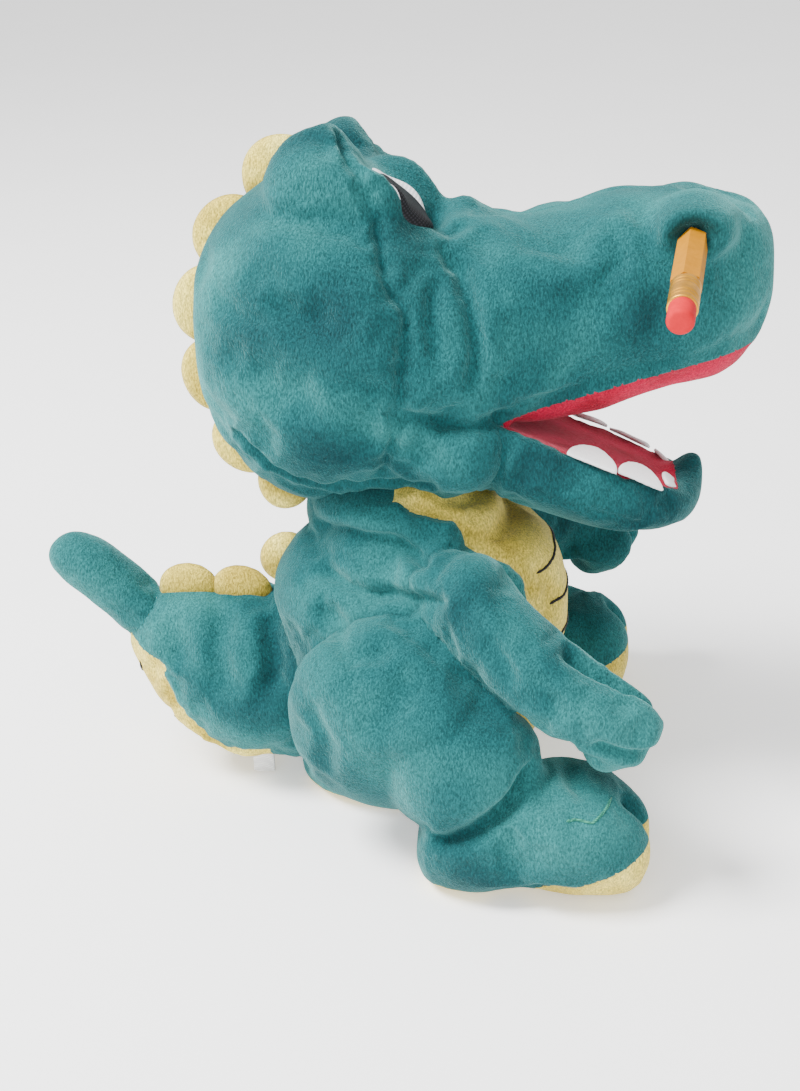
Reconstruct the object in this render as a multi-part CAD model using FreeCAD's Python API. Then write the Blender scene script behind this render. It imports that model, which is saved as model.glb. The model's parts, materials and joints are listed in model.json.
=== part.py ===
"""A stuffed dinosaur that sits upright on its seat and two big feet, with its mouth open.

Millimetres. +X is the dinosaur's left, -Y is forward (the way the snout points), +Z is up.
The origin is the middle of the flat seat, on the surface that the toy stands on.
Every soft part is a fabric skin, modelled as a shell, round a block of fibre stuffing.
A part that turns ends in a ball, or in a solid of revolution about its hinge, so that it clears its socket.
"""
import FreeCAD
import Part
import math
import os

from FreeCAD import Matrix, Placement, Rotation, Vector

# ---- driving dimensions ----
FABRIC = 2.0            # thickness of the plush fabric with its pile
FILL_GAP = 0.25         # room between a skin and its stuffing
SOCKET_GAP = 0.6        # room between a ball and its socket
FELT = 1.0              # thickness of the felt eyes and teeth
PANEL_LIFT = 1.2        # how far the cream panels stand out of the body
LINING_GAP = 0.05       # room between a panel or lining and what it lies on
RING_POINTS = 20        # points on each cross-section

NECK = Vector(0, -12, 95)        # where the head nods and turns
NECK_BALL = 28.0
NECK_TOP = 3.0                   # the ball is cut flat this far above its centre, under the head
HEAD_ROLL = 9.0                  # the head leans towards the dinosaur's left
JAW_HINGE = (32.0, 28.0)         # forward and up from the neck, in the head's own frame
JAW_ROUND = 21.0                 # radius of the jaw's back end about its hinge
JAW_OPENS = 6.0                  # degrees of room above the jaw's back end, for opening further
PALATE_RISE = 16.5               # degrees that the palate climbs towards the nose
FLOOR_FALL = 21.0                # degrees that the mouth's floor drops towards the chin

TAIL_HINGE = Vector(0, 26, 35)
TAIL_ROUND = 28.0
TAIL_HALF_WIDTH = 21.8
TAIL_SOCKET_GAP = 3.5            # wider than the others, because the tail is wider than its root
TIP_HINGE = Vector(0, 73, 57)
TIP_BALL = 8.8
HIP = (41.0, -10.0, 46.5)         # x is mirrored for the other leg
THIGH_ROUND = 30.0
THIGH_HALF_WIDTH = 19.0
SHOULDER = (38.0, -32.0, 83.0)
SHOULDER_BALL = 12.4
SCALLOP_THICK = 6.0
SCALLOP_SHARE = 0.95             # how far a scallop stands out, as a share of its half length
SEAT = 2.0                       # the skins stop here, and the seat and sole panels lie below
SEAT_INSET = 1.5                 # how far the seat panel's edge lies inside the torso's lowest ring

NOSTRIL = (22.5, 77.5, 79.0)     # lateral, forward and up of the pocket's mouth, in the head's frame
POCKET_BORE = 4.2
POCKET_WALL = 1.2
POCKET_DEPTH = 19.5
POCKET_ROOM = 0.1                # room round the pocket in the head
PENCIL_SHORT = 1.0               # the pencil's inner end stops this far from the pocket's closed end
PENCIL_DROP = 18.0               # degrees that the pencil points down from straight sideways
PENCIL_BACK = 9.0                # and backwards
PENCIL_OUT = 31.0                # bare barrel between the nostril and the ferrule
HEX_FLATS = 7.0
LEAD = 1.1                       # radius of the graphite
FERRULE = (3.75, 12.0)           # radius and length
ERASER = (3.35, 7.0)

X_AXIS, Y_AXIS, Z_AXIS = Vector(1, 0, 0), Vector(0, 1, 0), Vector(0, 0, 1)
BIG = 400.0
CRUMB = 0.01                     # share of the largest solid under which a stray sliver is dropped

os.makedirs("parts", exist_ok=True)


# ---- shape helpers ----
def ring(centre, side, rise, half_side, half_rise, power):
    """A closed smooth wire: a superellipse about centre in the plane of side and rise."""
    points = []
    for i in range(RING_POINTS):
        t = 2 * math.pi * i / RING_POINTS
        c, s = math.cos(t), math.sin(t)
        across = half_side * math.copysign(abs(c) ** (2 / power), c)
        up = half_rise * math.copysign(abs(s) ** (2 / power), s)
        points.append(centre + side * across + rise * up)
    curve = Part.BSplineCurve()
    curve.interpolate(points, PeriodicFlag=True)
    return Part.Wire([curve.toShape()])


def loft(rings, shrink=0.0, power=2.3):
    """A solid through rings of (centre, side, rise, half_side, half_rise), all made smaller by shrink."""
    wires = []
    last = len(rings) - 1
    for i, (centre, side, rise, half_side, half_rise) in enumerate(rings):
        if i in (0, last):
            inward = (rings[1][0] - centre) if i == 0 else (rings[last - 1][0] - centre)
            centre = centre + inward.normalize() * shrink
        least = 0.25
        wires.append(ring(centre, side, rise, max(half_side - shrink, least * half_side),
                          max(half_rise - shrink, least * half_rise), power))
    return Part.makeLoft(wires, True)


def upright_rings(rows):
    """Rings across the forward axis from rows of (forward, bottom, top, half_width)."""
    rings = []
    for forward, low, high, half in rows:
        rings.append((Vector(0, -forward, (low + high) / 2), X_AXIS, Z_AXIS, half, (high - low) / 2))
    return rings


def ellipsoid(centre, rx, ry, rz):
    scale = Matrix()
    scale.scale(rx, ry, rz)
    shape = Part.makeSphere(1.0).transformGeometry(scale)
    shape.translate(Vector(centre))
    return shape


def mirrored(shape):
    return shape.mirror(Vector(0, 0, 0), X_AXIS)


def box(x0, x1, y0, y1, z0, z1):
    return Part.makeBox(x1 - x0, y1 - y0, z1 - z0, Vector(x0, y0, z0))


def wedge_above(forward, up, slope):
    """A big block above the line through (forward, up) that climbs forward at slope degrees."""
    block = box(-BIG, BIG, -BIG, BIG, 0, BIG)
    block.rotate(Vector(0, 0, 0), X_AXIS, -slope)
    block.translate(Vector(0, -forward, up))
    return block


def cross_cylinder(forward, up, radius, half_length=60.0):
    """A cylinder whose axis runs across the head, through (forward, up)."""
    return Part.makeCylinder(radius, 2 * half_length, Vector(-half_length, -forward, up), X_AXIS)


def solids(shape):
    """The shape's solids, without the crumbs that a cut can leave, as one compound."""
    largest = max(s.Volume for s in shape.Solids)
    kept = [s for s in shape.Solids if s.Volume > CRUMB * largest]
    return kept[0] if len(kept) == 1 else Part.makeCompound(kept)


def save(node, shape):
    made = solids(shape)
    made.exportStep("parts/%s.step" % node)
    print("%-24s solids %d  valid %s  volume %.0f" % (node, len(made.Solids), made.isValid(), made.Volume))


# ---- torso ----
PELLET_BAG = (0, -24, 16)
PELLET_BAG_RADII = (18, 16, 8.5)
TORSO_POWER = 2.15               # squareness of the torso's cross-sections; 2 is an ellipse
BELLY_PANEL = (-23, 23, -80, -20, 8, 86)   # the region that the cream panel covers, as x, y and z ranges
PANEL_CLEARANCE = 1.5            # extra room between a panel and the parts that turn
TORSO_ROWS = [  # height, centre forward, half depth, half width
    (SEAT, 3, 22, 19), (8, 6, 33, 26), (20, 9, 40, 30.5), (40, 12, 43, 34),
    (58, 14, 43, 36), (72, 15, 42, 36), (82, 17, 37, 33), (90, 15, 28, 27),
]


def torso_form(shrink=0.0):
    rings = [(Vector(0, -c, z), X_AXIS, -Y_AXIS, w, d) for z, c, d, w in TORSO_ROWS]
    return loft(rings, shrink, TORSO_POWER)


def torso_sockets(extra=0.0):
    """What the neck, limbs and tail take out of the torso."""
    gap = SOCKET_GAP + extra
    cuts = [Part.makeSphere(NECK_BALL + gap, NECK)]
    tail_gap = TAIL_SOCKET_GAP + extra
    tail_round = TAIL_ROUND + tail_gap
    cuts.append(ellipsoid(TAIL_HINGE, TAIL_HALF_WIDTH + tail_gap, tail_round, tail_round))
    for sign in (-1, 1):
        hip = Vector(sign * HIP[0], HIP[1], HIP[2])
        cuts.append(ellipsoid(hip, THIGH_HALF_WIDTH + gap, THIGH_ROUND + gap, THIGH_ROUND + gap))
        shoulder = Vector(sign * SHOULDER[0], SHOULDER[1], SHOULDER[2])
        cuts.append(Part.makeSphere(SHOULDER_BALL + 2 * gap, shoulder))
    return cuts


def panel_on(form, bigger, region):
    """A thin panel that covers form inside region."""
    return bigger.cut(form).common(region)


def make_torso():
    outer, inner = torso_form(), torso_form(FABRIC)
    save("torso_skin", outer.cut([inner] + torso_sockets()))
    save("pellet_bag", ellipsoid(PELLET_BAG, *PELLET_BAG_RADII))
    core = torso_form(FABRIC + FILL_GAP)
    room = ellipsoid(PELLET_BAG, *(r + FILL_GAP for r in PELLET_BAG_RADII))
    save("torso_stuffing", core.cut([room] + torso_sockets(FILL_GAP)))
    foot = TORSO_ROWS[0]
    seat_wire = ring(Vector(0, -foot[1], 0), X_AXIS, -Y_AXIS, foot[3] - SEAT_INSET, foot[2] - SEAT_INSET,
                     TORSO_POWER)
    save("seat_panel", Part.Face(seat_wire).extrude(Vector(0, 0, SEAT - LINING_GAP)))
    front = box(*BELLY_PANEL)
    save("belly_panel", panel_on(outer, torso_form(-PANEL_LIFT), front).cut(torso_sockets(PANEL_CLEARANCE)))


def neck_form(shrink=0.0):
    """A ball with a flat top, round about the axis that the head turns on."""
    ball = Part.makeSphere(NECK_BALL - shrink, Vector(0, 0, 0))
    return ball.cut(box(-BIG, BIG, -BIG, BIG, NECK_TOP - shrink, BIG))


def make_neck():
    save_head("neck_skin", neck_form().cut(neck_form(FABRIC)))
    save_head("neck_stuffing", neck_form(FABRIC + FILL_GAP))


# ---- legs ----
FOOT_ROWS = [  # forward, bottom, top, half width
    (17, 8, 20, 8), (22, SEAT, 29, 14), (38, SEAT, 35, 17), (56, SEAT, 36, 18),
    (70, SEAT, 33, 16.5), (78, SEAT + 1, 27, 12), (82, 8, 18, 5),
]
FOOT_X = 53.0
SOLE_SHARE = 0.75                # width of the flat sole as a share of the foot's
SHANK = (51.0, -30.0, 36.0)
SHANK_RADII = (16.5, 23.0, 24.0)


def leg_form(shrink=0.0):
    """The right leg: a thigh that is round about the hip, a short shank and a long foot."""
    hip = (-HIP[0], HIP[1], HIP[2])
    thigh = ellipsoid(hip, THIGH_HALF_WIDTH - shrink, THIGH_ROUND - shrink, THIGH_ROUND - shrink)
    shank = ellipsoid((-SHANK[0], SHANK[1], SHANK[2]), *(r - shrink for r in SHANK_RADII))
    foot = loft(upright_rings(FOOT_ROWS), shrink)
    foot.translate(Vector(-FOOT_X, 0, 0))
    return thigh.fuse([shank, foot])


def sole():
    """The cream panel under the right foot, down to the surface that the toy stands on."""
    points = []
    for forward, _, _, half in FOOT_ROWS[1:-1]:
        points.append(Vector(-FOOT_X - half * SOLE_SHARE, -forward, 0))
    points.append(Vector(-FOOT_X, -FOOT_ROWS[-1][0] + 1, 0))
    for forward, _, _, half in reversed(FOOT_ROWS[1:-1]):
        points.append(Vector(-FOOT_X + half * SOLE_SHARE, -forward, 0))
    points.append(Vector(-FOOT_X, -FOOT_ROWS[0][0] - 1, 0))
    curve = Part.BSplineCurve()
    curve.interpolate(points, PeriodicFlag=True)
    return Part.Face(Part.Wire([curve.toShape()])).extrude(Vector(0, 0, SEAT - LINING_GAP))


def make_legs():
    outer, inner, core = leg_form(), leg_form(FABRIC), leg_form(FABRIC + FILL_GAP)
    floor = box(-BIG, BIG, -BIG, BIG, -BIG, SEAT)
    skin = outer.cut([inner, floor])
    for side, turn in (("right", lambda s: s), ("left", mirrored)):
        save(side + "_leg_skin", turn(skin))
        save(side + "_leg_stuffing", turn(core))
        save(side + "_sole", turn(sole()))


# ---- arms ----
ARM_ROWS = [  # sideways out, forward and up of the shoulder, and the radius
    (0, 0, 0, 11.4), (8, 10, -8, 11.8), (13.5, 21, -16, 12.0), (17, 32, -23, 11.8),
    (18.5, 41, -28, 11.4), (19, 47, -31, 9.0), (19.2, 50, -32.5, 4.4),
]


def arm_form(shrink=0.0):
    """The right arm, from the ball at the shoulder to the hand."""
    root = Vector(-SHOULDER[0], SHOULDER[1], SHOULDER[2])
    centres = [root + Vector(-out, -forward, up) for out, forward, up, _ in ARM_ROWS]
    rings = []
    for i, centre in enumerate(centres):
        before, after = centres[max(i - 1, 0)], centres[min(i + 1, len(centres) - 1)]
        along = (after - before).normalize()
        side = along.cross(Z_AXIS).normalize()
        rings.append((centre, side, side.cross(along), ARM_ROWS[i][3], ARM_ROWS[i][3]))
    ball = Part.makeSphere(SHOULDER_BALL - shrink, centres[0])
    return loft(rings, shrink, power=2.0).fuse(ball)


def make_arms():
    skin, core = arm_form().cut(arm_form(FABRIC)), arm_form(FABRIC + FILL_GAP)
    for side, turn in (("right", lambda s: s), ("left", mirrored)):
        save(side + "_arm_skin", turn(skin))
        save(side + "_arm_stuffing", turn(core))


# ---- tail ----
TAIL_ROWS = [  # backwards, up, half width, half height, degrees that the tail climbs there
    (27, 35, 21, 26, 0), (36, 35, 21.5, 28.5, 5), (48, 36.5, 20, 27.5, 12), (57, 42, 17, 22.5, 18),
    (65, 49, 13, 16, 26), (72, 55.5, 10, 11, 35),
]
TIP_ROWS = [  # backwards, up, radius
    (73, 57, 8.2), (78.5, 63.5, 8.7), (85, 69.5, 8.5), (91, 74.5, 7.8), (95.5, 77.5, 5.2), (97.5, 78.6, 2.2),
]
TAIL_POWER = 2.1
UNDER_HALF_WIDTH = 11.0          # the cream panel under the tail
UNDER_OUTLINE = [(42, -2), (50, 18), (76, 50), (95, 50), (70, -2)]   # backwards, up: what the panel covers
LABEL = (-8.4, -7.6, 33, 40, 1.5, 14)      # the care label's x, y and z ranges


def tail_form(shrink=0.0):
    rings = []
    for back, up, half_width, half_height, climb in TAIL_ROWS:
        lean = math.radians(climb)
        rise = Vector(0, -math.sin(lean), math.cos(lean))
        rings.append((Vector(0, back, up), X_AXIS, rise, half_width, half_height))
    root = ellipsoid(TAIL_HINGE, TAIL_HALF_WIDTH - shrink, TAIL_ROUND - shrink, TAIL_ROUND - shrink)
    return loft(rings, shrink, TAIL_POWER).fuse(root)


def tip_form(shrink=0.0):
    centres = [Vector(0, back, up) for back, up, _ in TIP_ROWS]
    rings = []
    for i, centre in enumerate(centres):
        along = (centres[min(i + 1, len(centres) - 1)] - centres[max(i - 1, 0)]).normalize()
        rings.append((centre, X_AXIS, along.cross(X_AXIS) * -1, TIP_ROWS[i][2], TIP_ROWS[i][2]))
    return loft(rings, shrink, power=2.0).fuse(Part.makeSphere(TIP_BALL - shrink, TIP_HINGE))


def scallop(centre, normal, radius, body):
    """A stuffed half-disc that stands on the ridge, with its seam edge on the surface of body."""
    disc = ellipsoid((0, 0, 0), SCALLOP_THICK / 2, radius, SCALLOP_SHARE * radius)
    turn = Rotation(Z_AXIS, normal)
    disc.Placement = Placement(centre, turn)
    return disc.cut(body)


def ridge_scallop(backwards, up, slope, radius, body):
    """A scallop on the torso or tail, whose ridge climbs backwards at slope degrees there."""
    lean = math.radians(slope)
    normal = Vector(0, -math.sin(lean), math.cos(lean))
    return scallop(Vector(0, backwards, up), normal, radius, body)


def make_tail():
    outer, inner = tail_form(), tail_form(FABRIC)
    socket = Part.makeSphere(TIP_BALL + SOCKET_GAP, TIP_HINGE)
    wide_socket = Part.makeSphere(TIP_BALL + SOCKET_GAP + FILL_GAP, TIP_HINGE)
    save("tail_skin", outer.cut([inner, socket]))
    save("tail_stuffing", tail_form(FABRIC + FILL_GAP).cut(wide_socket))
    corners = [Vector(-UNDER_HALF_WIDTH, back, up) for back, up in UNDER_OUTLINE + UNDER_OUTLINE[:1]]
    under = Part.Face(Part.makePolygon(corners)).extrude(Vector(2 * UNDER_HALF_WIDTH, 0, 0))
    save("tail_panel", panel_on(outer, tail_form(-PANEL_LIFT), under).cut(wide_socket))
    save("tail_tip_skin", tip_form().cut(tip_form(FABRIC)))
    save("tail_tip_stuffing", tip_form(FABRIC + FILL_GAP))
    save("back_scallop", ridge_scallop(23.5, 74.5, -38, 8.6, torso_form()).cut(torso_sockets()))
    save("tail_scallop_front", ridge_scallop(40.5, 63, -1, 8.0, outer))
    save("tail_scallop_rear", ridge_scallop(57, 63.5, 10, 8.0, outer))
    save("care_label", box(*LABEL).cut(outer))


# ---- head, built upright about the neck and then leaned over ----
HEAD_ROWS = [  # forward, bottom, top, half width
    (-58, 42, 62, 9), (-54, 28, 74, 20), (-45, 14, 86, 31), (-30, 3, 97, 38), (-14, 3, 100, 40),
    (0, 5, 93, 38.5), (12, 8, 85, 36), (22, 13, 82, 33.5), (30, 20, 83, 31.5), (38, 26, 85, 29.5),
    (50, 30, 88, 28.5), (68, 36, 90.5, 28.5), (83, 40, 90.5, 26.5), (93, 46, 86, 20.5), (99.5, 57, 76, 9),
]
JAW_ROWS = [
    (8, 6, 26, 20), (16, 5, 36, 27), (28, 4, 38, 30.5), (42, 0.5, 32, 30), (56, -4.5, 26, 28),
    (68, -7, 21, 24), (78, -4.5, 17, 16.5), (84, 1, 12, 7.5),
]
HEAD_POWER = 2.35
JAW_POWER = 2.3
BROW = (19.0, -15.0, 88.5)       # lateral, forward, up
BROW_RADII = (15.0, 20.0, 19.0)
EYE = (16.5, 1.5, 88.5)          # the middle of the eye, on the brow's front slope
EYE_SLOPE = 47.0                 # degrees that the eye's face leans back
EYE_REACH = 11.5                 # how far down the slope from the eye's middle the flat goes
EYE_WHITE = (10.5, 11.3)         # half sizes across and along the slope
PUPIL = (7.2, 8.6)
PUPIL_SHIFT = 1.5                # how far outwards the pupil lies from the eye's middle
FELT_GAP = 0.05                  # room under each felt layer


def head_form(shrink=0.0):
    """Cranium, snout and two brows, whose front slopes are cut flat for the eyes."""
    form = loft(upright_rings(HEAD_ROWS), shrink, HEAD_POWER)
    radii = [r - shrink for r in BROW_RADII]
    brows = [ellipsoid((sign * BROW[0], -BROW[1], BROW[2]), *radii) for sign in (-1, 1)]
    return form.fuse(brows).cut(slope_block(shrink))


def mouth_cut(gap):
    """What the open mouth and the jaw's round back end take out of the head."""
    forward, up = JAW_HINGE
    below_palate = box(-BIG, BIG, -BIG, -forward, -BIG, BIG).cut(wedge_above(forward, up + gap, PALATE_RISE))
    socket = cross_cylinder(forward, up, JAW_ROUND + SOCKET_GAP + gap)
    above_jaw = wedge_above(forward, up + gap, -FLOOR_FALL - JAW_OPENS)
    return [below_palate, socket.cut(above_jaw)]


def jaw_form(shrink=0.0):
    """The lower jaw: a scoop whose back end is round about its hinge."""
    forward, up = JAW_HINGE
    form = loft(upright_rings(JAW_ROWS), shrink, JAW_POWER)
    behind = box(-BIG, BIG, -forward, BIG, -BIG, BIG).cut(cross_cylinder(forward, up, JAW_ROUND - shrink))
    over = wedge_above(forward, up - shrink, -FLOOR_FALL)
    return form.cut([behind, over])


def eye_disc(sign, half_across, half_along, lift, thick, shift=0.0):
    """A felt oval that lies on the brow's front slope."""
    oval = ring(Vector(0, 0, 0), X_AXIS, Y_AXIS, half_across, half_along, 2.0)
    disc = Part.Face(oval).extrude(Vector(0, 0, thick))
    disc.translate(Vector(sign * shift, 0, lift))
    disc.rotate(Vector(0, 0, 0), X_AXIS, EYE_SLOPE)
    disc.translate(Vector(sign * EYE[0], -EYE[1], EYE[2]))
    return disc


def pocket_direction(sign):
    drop, back = math.radians(PENCIL_DROP), math.radians(PENCIL_BACK)
    return Vector(sign * math.cos(drop) * math.cos(back), math.cos(drop) * math.sin(back), -math.sin(drop))


def along_pencil(radius, start, length, sign=-1):
    """A cylinder on the pencil's axis, from start, measured outwards from the nostril's mouth."""
    mouth = Vector(sign * NOSTRIL[0], -NOSTRIL[1], NOSTRIL[2])
    way = pocket_direction(sign)
    return Part.makeCylinder(radius, length, mouth + way * start, way)


def pocket(sign):
    """A felt sock sewn into the nostril, open to the outside and closed at its inner end."""
    length = POCKET_DEPTH + POCKET_WALL
    outside = along_pencil(POCKET_BORE + POCKET_WALL, -length, length, sign)
    return outside.cut(along_pencil(POCKET_BORE, -POCKET_DEPTH, POCKET_DEPTH + 1, sign))


def hexagon_barrel(start, length):
    """A hexagonal rod on the pencil's axis."""
    corner = HEX_FLATS / math.sqrt(3)
    angles = [math.radians(60 * i) for i in range(7)]
    points = [Vector(corner * math.cos(a), corner * math.sin(a), 0) for a in angles]
    rod = Part.Face(Part.makePolygon(points)).extrude(Vector(0, 0, length))
    mouth = Vector(-NOSTRIL[0], -NOSTRIL[1], NOSTRIL[2])
    way = pocket_direction(-1)
    rod.Placement = Placement(mouth + way * start, Rotation(Z_AXIS, way))
    return rod


def slope_block(shrink):
    """A block in front of the eyes' plane, which flattens the brows there."""
    block = box(-BIG, BIG, -EYE_REACH - shrink, BIG, -shrink, BIG)
    block.rotate(Vector(0, 0, 0), X_AXIS, EYE_SLOPE)
    block.translate(Vector(0, -EYE[1], EYE[2]))
    return block


HEAD_SCALLOPS = [  # forward, up, degrees that it points above straight back, half length
    (-33, 93, 52, 10), (-48, 77, 36, 10), (-55.5, 58, 10, 9.8), (-54.5, 38, -14, 9.5), (-46.5, 19, -32, 9.3),
    (-36.5, 5.5, -34, 7.0),
]
TEETH = [  # name, distance from the hinge along the floor, half length, height, distance off centre, turn
    ("rear", 22.0, 7.4, 9.4, 26.5, 4.0),
    ("middle", 36.5, 7.0, 9.0, 24.0, 14.0),
    ("front", 48.0, 5.0, 7.0, 15.0, 48.0),
]
TOOTH_LEAN = 56.0                # degrees that the teeth lean in over the floor
TOOTH_LIFT = 0.2                 # the teeth's feet stand this far above the floor
LINING_START = 16.0              # how far in front of the hinge the red linings begin
PALATE_LINING = (25.5, 66.0, -3.0)         # half width, length and how far it swells, downwards
FLOOR_LINING = (22.5, 49.0, 4.0)


def tooth(sign, along, half_length, height, off_centre, turn):
    """A felt half-disc that stands on the jaw's rim and leans over the floor."""
    forward, up = JAW_HINGE
    fall = math.radians(FLOOR_FALL)
    disc = Part.makeCylinder(1.0, FELT, Vector(-FELT / 2, 0, 0), X_AXIS)
    scale = Matrix()
    scale.scale(1, half_length, height)
    disc = disc.transformGeometry(scale).common(box(-5, 5, -30, 30, 0, 30))
    disc.rotate(Vector(0, 0, 0), Y_AXIS, -sign * TOOTH_LEAN)
    disc.rotate(Vector(0, 0, 0), Z_AXIS, -sign * turn)
    disc.rotate(Vector(0, 0, 0), X_AXIS, FLOOR_FALL)
    up += TOOTH_LIFT - along * math.sin(fall)
    disc.translate(Vector(sign * off_centre, -forward - along * math.cos(fall), up))
    return disc.cut(jaw_form())


def lining(slope, half_width, length, swell):
    """A red pad on the palate, where swell is negative, or on the mouth's floor."""
    forward, up = JAW_HINGE
    side = math.copysign(1, swell)
    pad = ellipsoid((0, 0, 0), half_width, length, abs(swell))
    keep = box(-BIG, BIG, -BIG, -LINING_START, 0, BIG)
    if side < 0:
        keep = keep.mirror(Vector(0, 0, 0), Z_AXIS)
    pad = pad.common(keep)
    pad.translate(Vector(0, 0, side * LINING_GAP))
    pad.rotate(Vector(0, 0, 0), X_AXIS, -slope)
    pad.translate(Vector(0, -forward, up))
    return pad


def place_head(shape):
    """Leans the head over to its left and sets it on the neck."""
    shape.rotate(Vector(0, 0, 0), Y_AXIS, HEAD_ROLL)
    shape.translate(NECK)
    return shape


def save_head(node, shape):
    save(node, place_head(shape.copy()))


def make_head():
    outer = head_form()
    width = POCKET_BORE + POCKET_WALL + POCKET_ROOM
    deep = POCKET_DEPTH + POCKET_WALL + FELT
    sockets = [along_pencil(width, -deep, deep + BIG, s) for s in (-1, 1)]
    neck = neck_form(-SOCKET_GAP)
    save_head("head_skin", outer.cut([head_form(FABRIC)] + sockets + [neck] + mouth_cut(0.0)))
    core = head_form(FABRIC + FILL_GAP)
    save_head("head_stuffing", core.cut(sockets + [neck_form(-SOCKET_GAP - FILL_GAP)] + mouth_cut(FABRIC)))
    for side, sign in (("right", -1), ("left", 1)):
        save_head(side + "_eye_white", eye_disc(sign, *EYE_WHITE, FELT_GAP, FELT))
        save_head(side + "_pupil", eye_disc(sign, *PUPIL, FELT + 2 * FELT_GAP, FELT, PUPIL_SHIFT))
        save_head(side + "_nostril_pocket", pocket(sign))
    for i, (forward, up, point, radius) in enumerate(HEAD_SCALLOPS, start=1):
        angle = math.radians(point)
        normal = Vector(0, math.cos(angle), math.sin(angle))
        save_head("head_scallop_%d" % i, scallop(Vector(0, -forward, up), normal, radius, outer).cut(neck))
    save_head("palate_lining", lining(PALATE_RISE, *PALATE_LINING))


def make_jaw():
    outer = jaw_form()
    save_head("jaw_skin", outer.cut(jaw_form(FABRIC)))
    save_head("jaw_stuffing", jaw_form(FABRIC + FILL_GAP))
    save_head("jaw_lining", lining(-FLOOR_FALL, *FLOOR_LINING))
    for side, sign in (("right", -1), ("left", 1)):
        for name, *sizes in TEETH:
            save_head("%s_%s_tooth" % (side, name), tooth(sign, *sizes))


def make_pencil():
    inside = POCKET_DEPTH - PENCIL_SHORT
    barrel = hexagon_barrel(-inside, inside + PENCIL_OUT)
    core = along_pencil(LEAD, -inside, inside + PENCIL_OUT)
    save_head("pencil_barrel", barrel.cut(core))
    save_head("pencil_lead", core)
    save_head("pencil_ferrule", along_pencil(FERRULE[0], PENCIL_OUT, FERRULE[1]))
    save_head("pencil_eraser", along_pencil(ERASER[0], PENCIL_OUT + FERRULE[1], ERASER[1]))


make_torso()
make_neck()
make_legs()
make_arms()
make_tail()
make_head()
make_jaw()
make_pencil()
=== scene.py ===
"""A stuffed dinosaur in short teal plush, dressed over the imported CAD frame."""
import json
import math

import bpy
import numpy as np
from mathutils import Matrix, Vector
from mathutils.bvhtree import BVHTree


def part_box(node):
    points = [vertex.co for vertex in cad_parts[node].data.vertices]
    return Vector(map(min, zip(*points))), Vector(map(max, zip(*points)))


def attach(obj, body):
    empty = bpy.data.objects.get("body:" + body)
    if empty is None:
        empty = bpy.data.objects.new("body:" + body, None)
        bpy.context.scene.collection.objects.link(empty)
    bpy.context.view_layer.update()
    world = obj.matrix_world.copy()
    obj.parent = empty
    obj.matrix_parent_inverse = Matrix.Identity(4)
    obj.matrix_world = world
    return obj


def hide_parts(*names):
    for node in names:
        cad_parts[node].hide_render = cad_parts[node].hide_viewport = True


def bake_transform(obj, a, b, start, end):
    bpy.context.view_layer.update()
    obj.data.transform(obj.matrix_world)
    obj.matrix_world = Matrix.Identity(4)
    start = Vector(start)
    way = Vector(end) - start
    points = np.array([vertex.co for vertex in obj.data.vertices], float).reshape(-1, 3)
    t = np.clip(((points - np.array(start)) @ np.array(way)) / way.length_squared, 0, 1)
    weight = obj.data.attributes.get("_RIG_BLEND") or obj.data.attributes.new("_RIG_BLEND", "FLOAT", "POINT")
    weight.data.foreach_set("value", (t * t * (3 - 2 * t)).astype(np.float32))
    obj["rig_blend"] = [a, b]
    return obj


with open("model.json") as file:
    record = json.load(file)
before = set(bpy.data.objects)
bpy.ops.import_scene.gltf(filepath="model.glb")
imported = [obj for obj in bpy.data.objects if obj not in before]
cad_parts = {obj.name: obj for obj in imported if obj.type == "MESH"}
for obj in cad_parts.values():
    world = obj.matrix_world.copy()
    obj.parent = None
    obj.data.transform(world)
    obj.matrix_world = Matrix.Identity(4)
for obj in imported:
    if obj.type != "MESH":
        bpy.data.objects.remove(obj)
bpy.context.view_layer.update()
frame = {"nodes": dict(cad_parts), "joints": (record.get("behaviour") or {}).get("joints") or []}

MM = 0.001
SKIN = 2.25 * MM                 # from the stuffing's surface to the outside of the plush
CREASE = 1.5                     # how much deeper every seam and fold is pulled than its own depth says
JOINTS = {j["name"]: j for j in frame["joints"]}
HEAD_LEFT = Vector(JOINTS["jaw_open"]["axis"])
HEAD_UP = Vector(JOINTS["neck_turn"]["axis"])
HEAD_FORWARD = HEAD_LEFT.cross(HEAD_UP)
NECK = Vector(JOINTS["neck_turn"]["pos_m"])
HEAD_AXES = np.array([HEAD_LEFT, HEAD_FORWARD, HEAD_UP])
BODY_AXES = np.array([[1.0, 0, 0], [0, -1.0, 0], [0, 0, 1.0]])


# ---- arrays and meshes ----
def vertices(obj):
    co = np.zeros(len(obj.data.vertices) * 3)
    obj.data.vertices.foreach_get("co", co)
    return co.reshape(-1, 3)


def normals(obj):
    n = np.zeros(len(obj.data.vertices) * 3)
    obj.data.vertices.foreach_get("normal", n)
    return n.reshape(-1, 3)


def set_vertices(obj, co):
    obj.data.vertices.foreach_set("co", np.ascontiguousarray(co).ravel())
    obj.data.update()


def to_local(co, head=True):
    """Metres in the row frame to (left, forward, up) in mm about the neck, or about the seat."""
    if head:
        return (co - np.array(NECK)) @ HEAD_AXES.T / MM
    return co @ BODY_AXES.T / MM


def from_local(p, head=True):
    if head:
        return np.array(p) * MM @ HEAD_AXES + np.array(NECK)
    return np.array(p) * MM @ BODY_AXES


def new_object(name, mesh):
    obj = bpy.data.objects.new(name, mesh)
    bpy.context.scene.collection.objects.link(obj)
    return obj


def mesh_object(name, points, faces):
    mesh = bpy.data.meshes.new(name)
    mesh.from_pydata([tuple(p) for p in points], [], [tuple(f) for f in faces])
    mesh.update()
    return new_object(name, mesh)


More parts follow.
